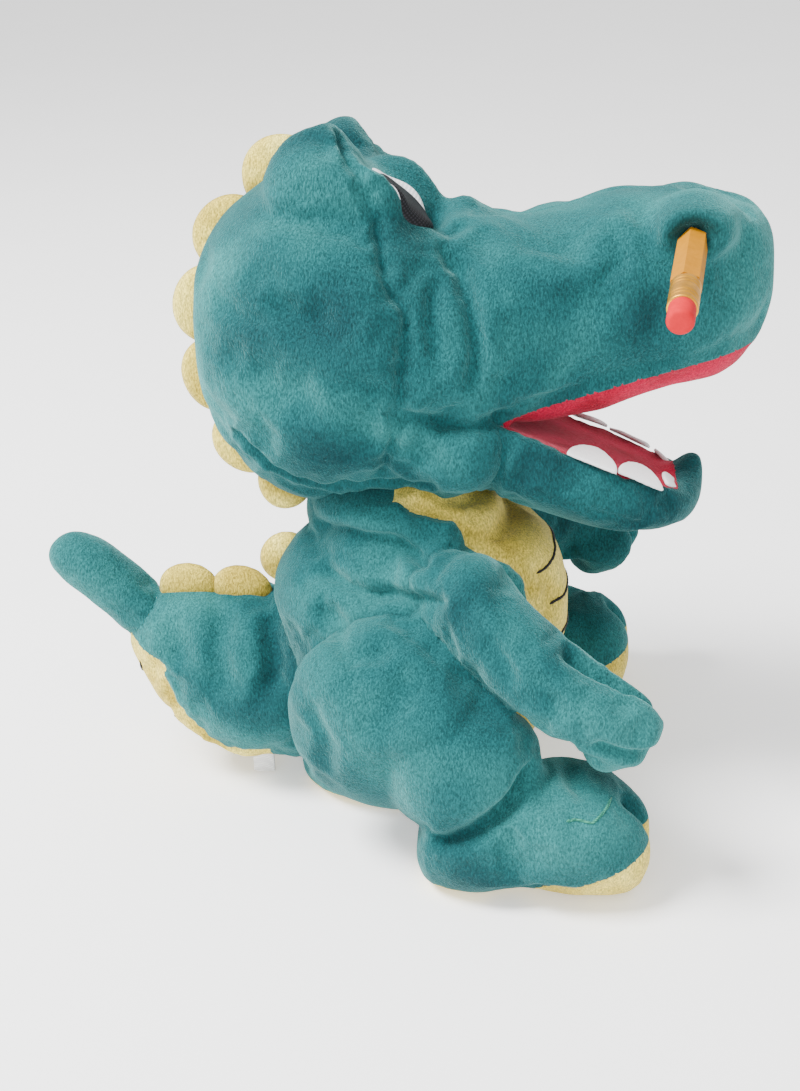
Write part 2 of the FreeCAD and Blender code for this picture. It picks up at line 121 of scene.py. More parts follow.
def bake_modifiers(obj):
    """Replaces obj's mesh by what its modifiers make of it."""
    bpy.context.view_layer.update()
    made = bpy.data.meshes.new_from_object(obj.evaluated_get(bpy.context.evaluated_depsgraph_get()))
    obj.modifiers.clear()
    obj.data = made
    return obj


def remesh(obj, voxel):
    mod = obj.modifiers.new("remesh", "REMESH")
    mod.mode = "VOXEL"
    mod.voxel_size = voxel
    return bake_modifiers(obj)


def smooth(obj, times, factor=0.5, weights=None):
    mod = obj.modifiers.new("smooth", "SMOOTH")
    mod.factor = factor
    mod.iterations = times
    if weights is not None:
        group = obj.vertex_groups.new(name="smooth")
        for level in range(1, 11):
            chosen = np.nonzero(np.round(weights * 10) == level)[0]
            group.add([int(i) for i in chosen], level / 10, "REPLACE")
        mod.vertex_group = "smooth"
    bake_modifiers(obj)
    obj.vertex_groups.clear()
    return obj


def subdivide(obj, levels=1):
    mod = obj.modifiers.new("subdivide", "SUBSURF")
    mod.levels = levels
    mod.render_levels = levels
    bake_modifiers(obj)
    obj.data.shade_smooth()
    return obj


def largest_shell(obj):
    """Deletes every loose part but the one that reaches furthest."""
    n = len(obj.data.vertices)
    edges = np.zeros(len(obj.data.edges) * 2, np.int64)
    obj.data.edges.foreach_get("vertices", edges)
    edges = edges.reshape(-1, 2)
    label = np.arange(n)
    while True:
        low = np.minimum(label[edges[:, 0]], label[edges[:, 1]])
        before = label.copy()
        np.minimum.at(label, edges[:, 0], low)
        np.minimum.at(label, edges[:, 1], low)
        label = label[label]
        if (label == before).all():
            break
    co = vertices(obj)
    names = np.unique(label)
    sizes = [np.ptp(co[label == k], axis=0).sum() for k in names]
    keep = label == names[int(np.argmax(sizes))]
    return keep_vertices(obj, keep)


def keep_vertices(obj, keep):
    index = np.cumsum(keep) - 1
    co = vertices(obj)[keep]
    kept = [p.vertices for p in obj.data.polygons if all(keep[v] for v in p.vertices)]
    faces = [[int(index[v]) for v in corners] for corners in kept]
    mesh = bpy.data.meshes.new(obj.name)
    mesh.from_pydata([tuple(c) for c in co], [], faces)
    mesh.update()
    obj.data = mesh
    return obj


def form_of(name, nodes, voxel, inflate, smoothing=4, blobs=(), head=True):
    """One closed form over CAD nodes and soft blobs: each node grows by inflate, then all fuse on a grid."""
    points, faces = [], []
    for node in nodes:
        part = new_object(name, frame["nodes"][node].data.copy())
        remesh(part, min(1.3 * MM, voxel))
        largest_shell(part)
        smooth(part, 2)
        grown = vertices(part) + normals(part) * inflate
        faces += [[v + len(points) for v in p.vertices] for p in part.data.polygons]
        points += [tuple(c) for c in grown]
        bpy.data.objects.remove(part)
    for centre, radii in blobs:
        ball, ball_faces = globe(28, 18)
        local = np.array(centre) + ball * np.array(radii)
        faces += [[v + len(points) for v in f] for f in ball_faces]
        points += [tuple(c) for c in from_local(local, head)]
    obj = mesh_object(name, points, faces)
    remesh(obj, voxel)
    largest_shell(obj)
    return smooth(obj, smoothing)


def globe(spokes, rings):
    """A unit ball as points and faces, its poles on the third axis."""
    points = [(0, 0, 1.0)]
    for k in range(1, rings):
        polar = math.pi * k / rings
        for i in range(spokes):
            a = 2 * math.pi * i / spokes
            points.append((math.sin(polar) * math.cos(a), math.sin(polar) * math.sin(a), math.cos(polar)))
    points.append((0, 0, -1.0))
    faces = [(0, 1 + i, 1 + (i + 1) % spokes) for i in range(spokes)]
    for k in range(rings - 2):
        a, b = 1 + k * spokes, 1 + (k + 1) * spokes
        faces += [(a + i, b + i, b + (i + 1) % spokes, a + (i + 1) % spokes) for i in range(spokes)]
    last = 1 + (rings - 2) * spokes
    faces += [(last + (i + 1) % spokes, last + i, len(points) - 1) for i in range(spokes)]
    return np.array(points), faces


def read(obj, name):
    values = np.zeros(len(obj.data.vertices), np.float32)
    obj.data.attributes[name].data.foreach_get("value", values)
    return values


def write(obj, name, values):
    attribute = obj.data.attributes.get(name) or obj.data.attributes.new(name, "FLOAT", "POINT")
    attribute.data.foreach_set("value", np.array(values, np.float32))


def paint(obj, name, values):
    write(obj, name, np.clip(values, 0, 1))


def tree_of(obj):
    faces = [tuple(p.vertices) for p in obj.data.polygons]
    return BVHTree.FromPolygons([tuple(c) for c in vertices(obj)], faces)


def distance_to(co, nodes):
    """How far each point is from the nearest of some CAD nodes, in mm."""
    trees = [tree_of(frame["nodes"][node]) for node in nodes]
    return np.array([min(tree.find_nearest(Vector(c))[3] for tree in trees) for c in co]) / MM


# ---- soft sculpting ----
def falloff(distance, width):
    return np.exp(-(distance / width) ** 2)


def push(obj, centre, radius, move, head=True):
    """Moves the surface near centre by the vector move, all in mm in the local frame."""
    local = to_local(vertices(obj), head)
    weight = falloff(np.linalg.norm((local - np.array(centre)) / np.array(radius), axis=1), 1.0)
    set_vertices(obj, from_local(local + weight[:, None] * np.array(move), head))


def side_line(tree, sign, path, head=True, step=1.5):
    """A path of (forward, up) laid on the surface from one side, as closely spaced local points."""
    dense = []
    for (a0, b0), (a1, b1) in zip(path[:-1], path[1:]):
        count = max(2, int(math.hypot(a1 - a0, b1 - b0) / step))
        dense += [(a0 + (a1 - a0) * t / count, b0 + (b1 - b0) * t / count) for t in range(count)]
    dense.append(path[-1])
    return drop(tree, [(sign * 120.0, a, b) for a, b in dense], (-sign, 0, 0), head)


def drop(tree, starts, way, head=True):
    """The points where rays from starts along way meet the surface, in the local frame."""
    hits = []
    origin = from_local((0, 0, 0), head)
    direction = Vector(from_local(way, head) - origin).normalized()
    for p in starts:
        hit = tree.ray_cast(Vector(from_local(p, head)), direction)[0]
        if hit is not None:
            hits.append(to_local(np.array(hit)[None], head)[0])
    return np.array(hits)


def line_distance(local, line):
    """Distance from each point to a polyline, and how far along the line the nearest point lies."""
    best = np.full(len(local), 1e9)
    along = np.zeros(len(local))
    run = 0.0
    for a, b in zip(line[:-1], line[1:]):
        d = b - a
        length = np.linalg.norm(d)
        if length < 1e-6:
            continue
        t = np.clip((local - a) @ d / length ** 2, 0, 1)
        dist = np.linalg.norm(local - a - t[:, None] * d, axis=1)
        nearer = dist < best
        best[nearer] = dist[nearer]
        along[nearer] = run + t[nearer] * length
        run += length
    return best, along


def crease(obj, line, depth, width, pucker=0.0, period=7.0, head=True, fade=0.0):
    """Pulls the surface in along a line, with small gathers beside it. Returns how near each point is."""
    if len(line) < 2:
        return np.zeros(len(obj.data.vertices))
    co = vertices(obj)
    dist, along = line_distance(to_local(co, head), line)
    total = np.linalg.norm(np.diff(line, axis=0), axis=1).sum()
    ends = np.ones(len(co))
    if fade > 0:
        ends = np.clip(along / fade, 0, 1) * np.clip((total - along) / fade, 0, 1)
        ends = ends * ends * (3 - 2 * ends)
    near = falloff(dist, width) * ends
    wobble = np.sin(2 * math.pi * along / period + 1.3 * np.sin(along / 5.0))
    gather = pucker * wobble * falloff(dist - 1.6 * width, 1.6 * width) * ends
    shift = gather - CREASE * depth * near
    set_vertices(obj, co + normals(obj) * (shift * MM)[:, None])
    return near


def lumps(obj, size, height, seed):
    """Soft uneven stuffing: a few smooth waves of that size and height, in mm."""
    co = vertices(obj)
    rng = np.random.default_rng(seed)
    wave = np.zeros(len(co))
    for _ in range(7):
        k = rng.normal(size=3)
        k *= 2 * math.pi / (size * MM * rng.uniform(0.8, 1.6)) / np.linalg.norm(k)
        wave += np.sin(co @ k + rng.uniform(0, 6.28))
    set_vertices(obj, co + normals(obj) * (wave / 3.0 * height * MM)[:, None])


def inflate_cloth(obj, pins, cap, frames=16, pressure=3.0, growth=0.05, stiffness=12.0, bending=0.4):
    """Blows the cover up as cloth with a little spare fabric, held at its pins, by no more than cap."""
    start = vertices(obj)
    group = obj.vertex_groups.new(name="pin")
    for level in range(1, 11):
        low, high = level / 10 - 0.05, level / 10 + 0.05
        chosen = np.nonzero((pins >= low) & (pins < high))[0]
        group.add([int(i) for i in chosen], level / 10, "REPLACE")
    mod = obj.modifiers.new("cloth", "CLOTH")
    s = mod.settings
    s.quality = 5
    s.mass = 0.2
    s.tension_stiffness = s.compression_stiffness = stiffness
    s.shear_stiffness = stiffness / 2
    s.bending_stiffness = bending
    s.use_pressure = True
    s.uniform_pressure_force = pressure
    s.shrink_min = -growth
    s.vertex_group_mass = "pin"
    s.effector_weights.gravity = 0
    mod.collision_settings.use_collision = False
    mod.collision_settings.use_self_collision = False
    scene = bpy.context.scene
    mod.point_cache.frame_start = 1
    mod.point_cache.frame_end = frames
    for f in range(1, frames + 1):
        scene.frame_set(f)
    bake_modifiers(obj)
    scene.frame_set(1)
    moved = vertices(obj) - start
    far = np.linalg.norm(moved, axis=1)
    scale = np.minimum(1.0, cap * MM / np.maximum(far, 1e-9))
    set_vertices(obj, start + moved * scale[:, None])
    obj.vertex_groups.clear()


def line_shade(obj, lines, width, head=True):
    """How near each vertex is to any of the lines, from 0 to 1, for painted shade along seams."""
    local = to_local(vertices(obj), head)
    shade = np.zeros(len(local))
    for line in lines:
        if len(line) > 1:
            shade = np.maximum(shade, falloff(line_distance(local, line)[0], width))
    return shade


def split(obj, name, level):
    """Cuts off the faces where level is below zero. Points beside the border are moved onto it first."""
    co = vertices(obj)
    level = np.array(level, float)
    edges = np.zeros(len(obj.data.edges) * 2, np.int64)
    obj.data.edges.foreach_get("vertices", edges)
    edges = edges.reshape(-1, 2)
    crossing = edges[level[edges[:, 0]] * level[edges[:, 1]] < 0]
    a, b = crossing[:, 0], crossing[:, 1]
    share = level[a] / (level[a] - level[b])
    point = co[a] + share[:, None] * (co[b] - co[a])
    nearer = np.where(share < 0.5, a, b)
    cost = np.minimum(share, 1 - share)
    order = np.argsort(-cost)
    moved = co.copy()
    moved[nearer[order]] = point[order]
    level[nearer] = 0.0
    faces = [tuple(p.vertices) for p in obj.data.polygons]
    chosen = np.array([level[list(f)].mean() < 0 for f in faces])
    attributes = {}
    for attribute in obj.data.attributes:
        if attribute.data_type == "FLOAT" and attribute.domain == "POINT":
            values = np.zeros(len(co), np.float32)
            attribute.data.foreach_get("value", values)
            attributes[attribute.name] = values
    made = []
    for take, label in ((chosen, name), (~chosen, obj.name)):
        kept = [faces[int(i)] for i in np.nonzero(take)[0]]
        used = np.zeros(len(co), bool)
        used[np.array([v for f in kept for v in f], int)] = True
        index = np.cumsum(used) - 1
        mesh = bpy.data.meshes.new(label)
        mesh.from_pydata([tuple(c) for c in moved[used]], [], [[int(index[v]) for v in f] for f in kept])
        mesh.update()
        mesh.shade_smooth()
        for key, values in attributes.items():
            mesh.attributes.new(key, "FLOAT", "POINT").data.foreach_set("value", values[used])
        made.append(mesh)
    obj.data = made[1]
    return new_object(name, made[0])


def plane_frame(node):
    """A CAD disc's middle, its two long directions, its normal, and its half sizes."""
    co = np.array([v.co for v in frame["nodes"][node].data.vertices])
    middle = (co.max(0) + co.min(0)) / 2
    axes = np.linalg.eigh(np.cov((co - co.mean(0)).T))[1][:, ::-1].T
    spans = (co - middle) @ axes.T
    return middle, axes, (spans.max(0) - spans.min(0)) / 2


# ---- materials ----
def nodes_of(name):
    mat = bpy.data.materials.new(name)
    mat.use_nodes = True
    tree = mat.node_tree
    return mat, tree, tree.nodes["Principled BSDF"]


def add(tree, kind, **values):
    node = tree.nodes.new(kind)
    for key, value in values.items():
        if key in node.inputs:
            node.inputs[key].default_value = value
        else:
            setattr(node, key, value)
    return node


def link(tree, a, b):
    tree.links.new(a, b)


def ramp(tree, source, stops):
    node = tree.nodes.new("ShaderNodeValToRGB")
    elements = node.color_ramp.elements
    while len(elements) < len(stops):
        elements.new(0.5)
    for element, (at, colour) in zip(elements, stops):
        element.position = at
        element.color = (*colour, 1)
    link(tree, source, node.inputs["Fac"])
    return node


def mix(tree, kind, factor, a, b):
    node = tree.nodes.new("ShaderNodeMix")
    node.data_type = "RGBA"
    node.blend_type = kind
    for socket, value in (("Factor", factor), ("A", a), ("B", b)):
        target = [s for s in node.inputs if s.name == socket and s.enabled][0]
        if isinstance(value, (int, float)):
            target.default_value = value
        elif isinstance(value, tuple):
            target.default_value = (*value, 1)
        else:
            link(tree, value, target)
    return [s for s in node.outputs if s.enabled][0]


def mapped(tree, scale, rotation=(0, 0, 0)):
    coord = tree.nodes.new("ShaderNodeTexCoord")
    mapping = add(tree, "ShaderNodeMapping")
    mapping.inputs["Scale"].default_value = scale
    mapping.inputs["Rotation"].default_value = rotation
    link(tree, coord.outputs["Object"], mapping.inputs["Vector"])
    return mapping.outputs["Vector"]


def noise(tree, vector, scale, detail=3.0, roughness=0.5, distortion=0.0):
    node = add(tree, "ShaderNodeTexNoise", Scale=scale, Detail=detail, Roughness=roughness,
               Distortion=distortion)
    link(tree, vector, node.inputs["Vector"])
    return node.outputs["Fac"]


def plush(name, dark, mid, light, painted_shade, sheen, patch=55.0, contrast=1.0, pile=1.0):
    """Short pile: brushed patches, fine strokes along the nap, painted shade at seams, creases and hollows,
    and a soft bloom at edges.
    """
    mat, tree, shader = nodes_of(name)
    space = mapped(tree, (1, 1, 1))
    patches = noise(tree, space, patch, 2.5, 0.45, 0.5)
    tone = ramp(tree, patches, [(0.5 - 0.16 / contrast, dark), (0.5, mid), (0.5 + 0.17 / contrast, light)])
    strokes = noise(tree, mapped(tree, (1, 1, 0.42), (0.5, 0.25, 0.0)), 2100.0, 2.0, 0.6, 0.5)
    stroke_tone = ramp(tree, strokes, [(0.34, (0.60,) * 3), (0.5, (0.97,) * 3), (0.66, (1.42,) * 3)])
    colour = mix(tree, "MULTIPLY", pile, tone.outputs["Color"], stroke_tone.outputs["Color"])
    flecks = noise(tree, space, 2600.0, 2.0, 0.6)
    fleck_tone = ramp(tree, flecks, [(0.35, (0.8, 0.8, 0.8)), (0.65, (1.15, 1.15, 1.15))])
    colour = mix(tree, "MULTIPLY", 0.6, colour, fleck_tone.outputs["Color"])
    # Painted shade: a per-vertex attribute mixes the dark shade colour in at seams, creases and hollows.
    attribute = add(tree, "ShaderNodeAttribute", attribute_name="painted_shade")
    colour = mix(tree, "MIX", attribute.outputs["Fac"], colour, painted_shade)
    link(tree, colour, shader.inputs["Base Color"])
    bumps = add(tree, "ShaderNodeBump", Strength=0.6 * pile, Distance=0.0007)
    fine = add(tree, "ShaderNodeBump", Strength=0.35 * pile, Distance=0.0004)
    wide = add(tree, "ShaderNodeBump", Strength=0.25 * pile, Distance=0.0016)
    soft = noise(tree, space, 220.0, 3.0, 0.6, 0.5)
    link(tree, soft, wide.inputs["Height"])
    link(tree, strokes, bumps.inputs["Height"])
    link(tree, wide.outputs["Normal"], bumps.inputs["Normal"])
    link(tree, flecks, fine.inputs["Height"])
    link(tree, bumps.outputs["Normal"], fine.inputs["Normal"])
    link(tree, fine.outputs["Normal"], shader.inputs["Normal"])
    shader.inputs["Roughness"].default_value = 0.9
    shader.inputs["Specular IOR Level"].default_value = 0.15
    shader.inputs["Sheen Weight"].default_value = 0.35
    shader.inputs["Sheen Roughness"].default_value = 0.4
    shader.inputs["Sheen Tint"].default_value = (*sheen, 1)
    return mat


def woven(name, dark, light, threads, sheen=0.2, roughness=0.6):
    """A fine plain weave from two crossed waves."""
    mat, tree, shader = nodes_of(name)
    heights = []
    for direction in ("X", "Z"):
        wave = add(tree, "ShaderNodeTexWave", Scale=threads, Distortion=0.6, bands_direction=direction)
        wave.inputs["Detail Scale"].default_value = 2.0
        link(tree, mapped(tree, (1, 1, 1), (0.3, 0.2, 0.1)), wave.inputs["Vector"])
        heights.append(wave.outputs["Fac"])
    blend = mix(tree, "MULTIPLY", 1.0, heights[0], heights[1])
    tone = ramp(tree, blend, [(0.0, dark), (0.8, light)])
    link(tree, tone.outputs["Color"], shader.inputs["Base Color"])
    bump = add(tree, "ShaderNodeBump", Strength=0.5, Distance=0.0002)
    link(tree, blend, bump.inputs["Height"])
    link(tree, bump.outputs["Normal"], shader.inputs["Normal"])
    shader.inputs["Roughness"].default_value = roughness
    shader.inputs["Specular IOR Level"].default_value = 0.2
    shader.inputs["Sheen Weight"].default_value = sheen
    return mat


def felt(name, low, high):
    mat, tree, shader = nodes_of(name)
    space = mapped(tree, (1, 1, 1))
    fibres = noise(tree, space, 1500.0, 6.0, 0.75, 1.5)
    tone = ramp(tree, fibres, [(0.3, low), (0.65, high)])
    link(tree, tone.outputs["Color"], shader.inputs["Base Color"])
    bump = add(tree, "ShaderNodeBump", Strength=0.6, Distance=0.0004)
    link(tree, fibres, bump.inputs["Height"])
    link(tree, bump.outputs["Normal"], shader.inputs["Normal"])
    shader.inputs["Roughness"].default_value = 0.95
    shader.inputs["Sheen Weight"].default_value = 0.4
    shader.inputs["Sheen Roughness"].default_value = 0.5
    return mat


def hard(name, colour, vary, roughness, metallic=0.0, scale=400.0, coat=0.0, bump_height=0.00008):
    """Lacquer, metal, rubber or graphite, with faint wear in its colour and surface."""
    mat, tree, shader = nodes_of(name)
    space = mapped(tree, (1, 1, 1))
    wear = noise(tree, space, scale, 5.0, 0.65)
    tone = ramp(tree, wear, [(0.3, tuple(c * vary for c in colour)), (0.62, colour)])
    link(tree, tone.outputs["Color"], shader.inputs["Base Color"])
    rough = ramp(tree, wear, [(0.3, (roughness + 0.15,) * 3), (0.7, (roughness,) * 3)])
    link(tree, rough.outputs["Color"], shader.inputs["Roughness"])
    bump = add(tree, "ShaderNodeBump", Strength=0.3, Distance=bump_height)
    link(tree, wear, bump.inputs["Height"])
    link(tree, bump.outputs["Normal"], shader.inputs["Normal"])
    shader.inputs["Metallic"].default_value = metallic
    shader.inputs["Specular IOR Level"].default_value = 0.15
    shader.inputs["Coat Weight"].default_value = coat
    return mat


# The fifth colour of each plush is its painted shade colour, mixed in at seams, creases and hollows.
TEAL = plush("teal_plush", (0.0022, 0.038, 0.044), (0.0064, 0.078, 0.083), (0.020, 0.140, 0.139),
             (0.0006, 0.011, 0.013), (0.35, 0.85, 0.80), 24.0, 0.9)
CREAM = plush("cream_plush", (0.44, 0.33, 0.045), (0.62, 0.49, 0.085), (0.78, 0.66, 0.16),
              (0.16, 0.11, 0.012), (1.0, 0.9, 0.55), 60.0, 0.8)
RED = plush("red_plush", (0.22, 0.001, 0.013), (0.36, 0.0012, 0.027), (0.50, 0.003, 0.048),
            (0.09, 0.0005, 0.004), (1.0, 0.30, 0.38), 60.0, 0.7, 0.8)
WHITE_FELT = felt("white_felt", (0.72, 0.72, 0.72), (0.9, 0.9, 0.9))
SATIN = woven("white_satin", (0.70, 0.71, 0.74), (0.92, 0.92, 0.94), 330.0)
BLACK = woven("black_weave", (0.003, 0.003, 0.004), (0.022, 0.022, 0.028), 420.0, 0.0)
THREAD = woven("black_thread", (0.004, 0.004, 0.004), (0.03, 0.03, 0.03), 500.0, 0.1)
GREEN_THREAD = woven("teal_thread", (0.01, 0.12, 0.08), (0.04, 0.34, 0.22), 500.0, 0.1)
LABEL = woven("label_tape", (0.68, 0.68, 0.68), (0.88, 0.88, 0.88), 400.0, 0.1)
LACQUER = hard("yellow_lacquer", (0.44, 0.175, 0.0), 0.85, 0.45)
GOLD = hard("gold_metal", (0.72, 0.34, 0.03), 0.7, 0.3, metallic=0.85)
RUBBER = hard("pink_rubber", (0.58, 0.010, 0.018), 0.8, 0.65, bump_height=0.0002)
GRAPHITE = hard("graphite", (0.05, 0.05, 0.055), 0.6, 0.45)


def dress(obj, body, material, nodes=()):
    """Gives a piece its material and its body, and hides the CAD nodes that it stands for."""
    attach(obj, body)
    return declare(obj, material, nodes)


def dress_blend(obj, a, b, start, end, material, nodes=()):
    """The same for a cover that crosses a joint: it follows body a up to start and body b from end on."""
    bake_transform(obj, a, b, start, end)
    return declare(obj, material, nodes)


def declare(obj, material, nodes):
    obj.data.materials.clear()
    obj.data.materials.append(material)
    if nodes:
        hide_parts(*nodes)
    return obj


# ---- head ----
HINGE = (32.0, 28.0)             # the jaw's hinge, forward and up from the neck
PALATE_RISE = math.radians(16.5)
FLOOR_FALL = math.radians(21.0)
FLOP = math.radians(20.0)        # how much further than the CAD teeth the felt ones lean
RIM_DIP = 2.2                    # how far the jaw's soft rim sags at its sides
def palate_height(local):
    """The height of the palate's plane at each point, in mm in the head's frame."""
    return HINGE[1] + (local[:, 1] - HINGE[0]) * math.tan(PALATE_RISE)


def floor_height(local):
    return HINGE[1] - (local[:, 1] - HINGE[0]) * math.tan(FLOOR_FALL)


# (forward, up) path, depth, width, gathers and how long each end takes to fade out
HEAD_SEAMS = [
    ([(-14, 106), (-8, 96), (-4, 84), (-1, 67), (4, 61), (2, 46), (1, 31), (-4, 15)], 2.2, 1.6, 0.5, 0.0),
    ([(-2, 34), (8, 32), (20, 30), (31, 32)], 2.8, 2.0, 0.4, 3.0),
    ([(-47, 28), (-34, 15), (-22, 10), (-4, 11), (12, 12)], 1.6, 2.0, 0.4, 4.0),
    ([(10, 78), (18, 70), (21, 60), (22, 50), (20, 38)], 2.2, 2.4, 0.0, 9.0),
    ([(11, 70), (10, 58), (12, 46)], 1.5, 2.4, 0.0, 7.0),
    ([(-34, 66), (-24, 60), (-12, 61)], 1.6, 4.0, 0.0, 8.0),
    ([(-40, 48), (-30, 40), (-18, 42)], 1.2, 4.5, 0.0, 8.0),
    ([(6, 84), (14, 80), (20, 82)], 1.6, 2.4, 0.0, 5.0),
    ([(60, 88), (66, 80), (66, 72)], 1.0, 3.0, 0.0, 7.0),
]


def make_head():
    blobs = [((0, 10, 22), (31.5, 20, 19))]
    for s in (-1, 1):
        blobs.append(((s * 24.5, 17, 24), (9.5, 13, 15)))
        blobs.append(((s * 21.5, 77, 79), (10, 12, 7.5)))
        blobs.append(((s * 15, 78, 82), (10, 12, 7.5)))
    obj = form_of("head_cover", ["head_stuffing"], 2.1 * MM, SKIN - 0.5 * MM, 3, blobs)
    for s in (-1, 1):
        push(obj, (s * 20, -16, 104), (9, 7, 8), (0, 0, 1.5))
        push(obj, (s * 30, 2, 91), (5, 15, 9), (0, 2.5, 3.5))
        push(obj, (s * 15, 24, 80), (14, 14, 9), (0, 0, 2.5))
        push(obj, (s * 20, 77, 92), (8, 12, 7), (0, 0, 1.6))
        push(obj, (s * 25, 78, 85), (9, 16, 8), (s * 3.5, 0, 0))
        push(obj, (s * 33, 76, 79), (8, 4.2, 4.2), (-s * 6.0, 0, 1.8))
        push(obj, (s * 30, 40, 60), (8, 22, 18), (s * 1.2, 0, 0))
    push(obj, (0, 7, 88), (5.5, 15, 12), (0, 4.5, 6.0))
    push(obj, (0, 15, 82), (5, 8, 7), (0, 1.0, 2.0))
    push(obj, (0, -1, 97), (5, 9, 8), (0, 2.0, 2.5))
    push(obj, (0, -18, 101), (7, 12, 9), (0, 0, -3.0))
    local = to_local(vertices(obj))
    level = palate_height(local)
    under = (local[:, 1] > HINGE[0]) & (np.abs(local[:, 2] - level) < 6)
    under &= normals(obj) @ np.array(HEAD_UP) < -0.4
    dome = np.clip(1 - (local[:, 0] / 27) ** 2, 0, 1) * np.clip((local[:, 1] - HINGE[0]) / 14, 0, 1)
    dome *= np.clip((99 - local[:, 1]) / 12, 0, 1)
    local[:, 2] -= np.where(under, 4.5 * np.sqrt(dome), 0)
    set_vertices(obj, from_local(local))
    smooth(obj, 2)
    tree = tree_of(obj)
    lines = []
    pins = np.zeros(len(obj.data.vertices))
    for s in (-1, 1):
        for path, depth, width, gather, fade in HEAD_SEAMS:
            line = side_line(tree, s, path)
            near = crease(obj, line, depth, width, gather, fade=fade)
            pins = np.maximum(pins, near * (1.0 if fade < 5 else 0.5))
            if fade < 5:
                lines.append(line)
    middle = drop(tree, [(0, a, 160.0) for a in np.arange(18, 96, 1.5)], (0, 0, -1))
    crease(obj, middle, 0.5, 1.3, 0.12)
    lumps(obj, 30.0, 0.45, 3)
    lumps(obj, 11.0, 0.12, 4)
    local = to_local(vertices(obj))
    mouth = local[:, 1] > HINGE[0] - 2
    mouth &= local[:, 2] < palate_height(local) + 2.5
    pins[mouth] = 1.0
    eye_zone = np.linalg.norm((local - np.array([0, 2, 88])) / np.array([36, 16, 18]), axis=1) < 1
    pins[eye_zone] = 1.0
    inflate_cloth(obj, pins, 1.5)
    subdivide(obj)
    local = to_local(vertices(obj))
    # Painted shade: darker along the seam lines, in the nostril recesses and on the brow-front panel.
    shade = 0.8 * line_shade(obj, lines, 0.7)
    for s in (-1, 1):
        # painted shade in the nostril recess around the pencil
        near_hole = np.linalg.norm((local - np.array([s * 29, 76, 80])) / np.array([9, 8, 7]), axis=1)
        shade = np.maximum(shade, 0.95 * falloff(near_hole, 0.8))
        # painted shade on the brow-front panel, where the nap looks darker in this light
        brow_front = np.linalg.norm((local - np.array([s * 30, 5, 84])) / np.array([14, 7, 13]), axis=1)
        shade = np.maximum(shade, 0.55 * falloff(brow_front, 1.0))
    paint(obj, "painted_shade", shade)
    level = palate_height(local)
    red = np.maximum(local[:, 2] - level - 2.6, HINGE[0] - 3 - local[:, 1])
    palate = split(obj, "palate_cover", red)
    dress(palate, "head", RED, ["palate_lining"])
    dress(obj, "head", TEAL,
          ["head_skin", "head_stuffing", "right_nostril_pocket", "left_nostril_pocket"])
    return obj


def make_jaw():
    obj = form_of("jaw_cover", ["jaw_stuffing"], 1.8 * MM, SKIN + 0.1 * MM, 3, [((0, 24, 18), (27, 12, 13))])
    push(obj, (0, 83, 13), (6, 6, 8), (0, 3.0, 7.0))
    smooth(obj, 2)
    local = to_local(vertices(obj))
    bins = np.arange(8, 90, 3.0)
    half = np.array([np.abs(local[np.abs(local[:, 1] - b) < 3, 0]).max(initial=1.0) for b in bins])
    reach = np.abs(local[:, 0]) / np.maximum(np.interp(local[:, 1], bins, half) - 3.0, 2.0)
    level = floor_height(local)
    top = (np.abs(local[:, 2] - level) < 4) & (local[:, 1] > 22) & (local[:, 1] < 80)
    dish = np.clip(1 - reach ** 4, 0, 1) * np.clip((local[:, 1] - 22) / 10, 0, 1)
    dish *= np.clip((80 - local[:, 1]) / 8, 0, 1)
    local[:, 2] -= np.where(top, 2.2 * dish, 0)
    along = np.clip((local[:, 1] - 32) / 14, 0, 1) * np.clip((88 - local[:, 1]) / 14, 0, 1)
    side = np.clip(np.abs(local[:, 0]) / np.maximum(np.interp(local[:, 1], bins, half), 2.0), 0, 1) ** 3
    height = np.clip((local[:, 2] - level + 14) / 10, 0, 1)
    local[:, 2] -= RIM_DIP * along * side * height
    set_vertices(obj, from_local(local))
    tree = tree_of(obj)
    pins = np.clip(dish * top * 3, 0, 1)
    for s in (-1, 1):
        line = side_line(tree, s, [(33, 30), (29, 22), (26, 12), (24, 4)])
        near = crease(obj, line, 1.2, 2.0, 0.2, fade=3.0)
        pins = np.maximum(pins, near)
    lumps(obj, 24.0, 0.35, 8)
    inflate_cloth(obj, pins, 1.0)
    subdivide(obj)
    local = to_local(vertices(obj))
    level = floor_height(local)
    width = np.interp(local[:, 1], bins, half)
    rim = np.abs(local[:, 0]) - (width - 3.0)
    red = np.maximum.reduce([rim + 0.8, level - 7 - local[:, 2], local[:, 1] - 77, 28 - local[:, 1]])
    # painted shade along the border of the red lining, where the cover turns into the mouth
    paint(obj, "painted_shade", 0.5 * falloff(red, 0.8))
    lining = split(obj, "jaw_floor_cover", red)
    dress(lining, "jaw", RED, ["jaw_lining"])
    dress(obj, "jaw", TEAL, ["jaw_skin", "jaw_stuffing"])


